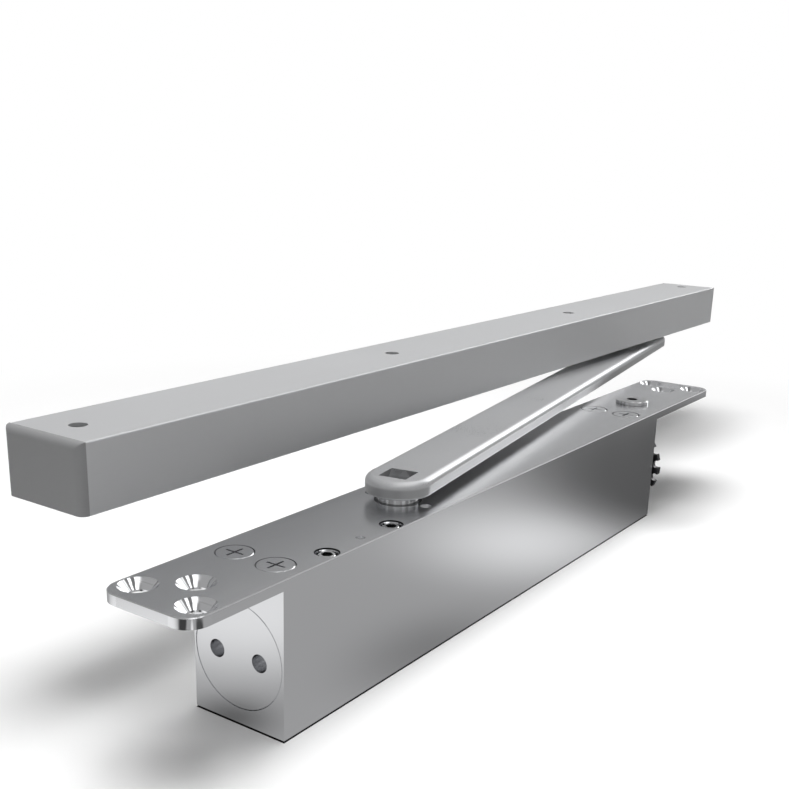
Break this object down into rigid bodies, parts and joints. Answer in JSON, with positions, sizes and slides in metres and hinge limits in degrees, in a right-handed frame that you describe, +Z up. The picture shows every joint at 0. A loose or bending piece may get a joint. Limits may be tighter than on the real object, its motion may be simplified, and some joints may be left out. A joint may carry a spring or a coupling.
{
  "type": "cam action door closer",
  "caption": "Concealed cam action door closer: bored housing with end flanges, heart cam and pistons, flat swing arm, and a slotted slide track with its block.",
  "frame": {"origin": "on the spindle axis, at the underside of the housing", "axes": "+X along the housing to the spring adjuster's end, +Y across it to the slide track, +Z up along the spindle, out of the flange"},
  "size_m": [0.4714, 0.082, 0.0764],
  "materials": {
    "body_steel": "satin",
    "cover_steel": "satin",
    "plug_steel": "turned, satin",
    "bright_steel": "ground, bright",
    "spindle_steel": "ground, bright",
    "arm_aluminium": "fine satin",
    "track_aluminium": "satin anodised",
    "cap_plastic": "matt",
    "block_plastic": "matt",
    "bush_bronze": "turned",
    "seal_rubber": "matt",
    "inner_steel": "turned",
    "spring_steel": "oiled",
    "gear_steel": "oiled, dark",
    "valve_steel": "turned"
  },
  "bodies": {
    "closer": {"closer_body": "body_steel", "end_plug": "plug_steel", "end_plug_seal": "seal_rubber", "spring_end_plug": "plug_steel", "spring_end_plug_seal": "seal_rubber", "sealing_plugs": "plug_steel", "channel_plugs": "bright_steel", "upper_bush": "bush_bronze", "shaft_seal": "seal_rubber", "bearing_cover": "cover_steel", "bearing_cover_seal": "seal_rubber", "lower_bush": "bush_bronze", "thrust_washer": "bush_bronze", "closing_spring": "spring_steel", "follower_spring": "spring_steel"},
    "arm": {"cam_spindle": "spindle_steel", "arm": "arm_aluminium", "pivot_pin": "bright_steel", "pin_circlip": "spring_steel"},
    "slider": {"slide_block": "block_plastic"},
    "track": {"track_rail": "track_aluminium", "left_end_cap": "cap_plastic", "right_end_cap": "cap_plastic"},
    "spring_piston": {"spring_piston": "inner_steel", "spring_piston_ring": "seal_rubber", "spring_roller_pin": "bright_steel"},
    "spring_roller": {"spring_roller": "bright_steel"},
    "damping_piston": {"damping_piston": "inner_steel", "damping_piston_ring": "seal_rubber", "damping_roller_pin": "bright_steel", "check_valve_ball": "bright_steel", "check_valve_retainer": "inner_steel"},
    "damping_roller": {"damping_roller": "bright_steel"},
    "adjuster_wheel": {"adjuster_wheel": "gear_steel", "adjusting_screw": "inner_steel", "wheel_circlip": "spring_steel"},
    "adjuster_pinion": {"adjuster_spindle": "bright_steel", "adjuster_pinion": "gear_steel", "pinion_cross_pin": "bright_steel"},
    "spring_seat": {"spring_seat": "inner_steel"},
    "closing_speed_valve": {"closing_speed_valve": "valve_steel", "closing_valve_seal": "seal_rubber"},
    "latching_speed_valve": {"latching_speed_valve": "valve_steel", "latching_valve_seal": "seal_rubber"}
  },
  "joints": [
    {"name": "arm_swing", "type": "hinge", "parent": "closer", "child": "arm", "pos_m": [0, 0, 0.0482], "axis": [0, 0, 1], "range_deg": [0, 150], "stiffness_Nm_per_rad": 2, "springref_deg": -57.3},
    {"name": "slide_block_pivot", "type": "hinge", "parent": "arm", "child": "slider", "pos_m": [0.30421, 0.049, 0.0604], "axis": [0, 0, 1], "range_deg": [-70.8, 89.1]},
    {"name": "track_slide", "type": "slide", "parent": "slider", "child": "track", "axis": [1, 0, 0], "range_m": [-0.0404, 0.3754]},
    {"name": "spring_piston_slide", "type": "slide", "parent": "closer", "child": "spring_piston", "axis": [1, 0, 0], "range_m": [0, 0.0061], "deforming": ["closing_spring"]},
    {"name": "spring_roller_spin", "type": "hinge", "parent": "spring_piston", "child": "spring_roller", "pos_m": [0.0105, 0, 0.0199], "axis": [0, 0, 1], "continuous": true},
    {"name": "damping_piston_slide", "type": "slide", "parent": "closer", "child": "damping_piston", "axis": [1, 0, 0], "range_m": [0, 0.0061], "deforming": ["follower_spring"]},
    {"name": "damping_roller_spin", "type": "hinge", "parent": "damping_piston", "child": "damping_roller", "pos_m": [-0.01773, 0, 0.0199], "axis": [0, 0, 1], "continuous": true},
    {"name": "adjuster_wheel_turn", "type": "hinge", "parent": "closer", "child": "adjuster_wheel", "pos_m": [0.173, 0, 0.0199], "axis": [1, 0, 0], "range_deg": [-720, 720]},
    {"name": "adjuster_pinion_turn", "type": "hinge", "parent": "closer", "child": "adjuster_pinion", "pos_m": [0.1779, 0, 0.044], "axis": [0, 0, 1], "range_deg": [-2161, 2161]},
    {"name": "spring_seat_travel", "type": "slide", "parent": "closer", "child": "spring_seat", "axis": [1, 0, 0], "range_m": [-0.0061, 0.0061], "deforming": ["closing_spring"]},
    {"name": "closing_speed_valve_turn", "type": "hinge", "parent": "closer", "child": "closing_speed_valve", "pos_m": [-0.0499, -0.012, 0.045], "axis": [0, 0, 1], "range_deg": [-360, 360]},
    {"name": "latching_speed_valve_turn", "type": "hinge", "parent": "closer", "child": "latching_speed_valve", "pos_m": [-0.0203, -0.012, 0.045], "axis": [0, 0, 1], "range_deg": [-360, 360]}
  ],
  "couplings": [
    {"joint": "spring_piston_slide", "follows": "arm_swing", "m_per_rad": 0.0023},
    {"joint": "damping_piston_slide", "follows": "arm_swing", "m_per_rad": 0.0023},
    {"joint": "adjuster_pinion_turn", "follows": "adjuster_wheel_turn", "ratio": 3},
    {"joint": "spring_seat_travel", "follows": "adjuster_wheel_turn", "m_per_rad": -0.00047746}
  ]
}
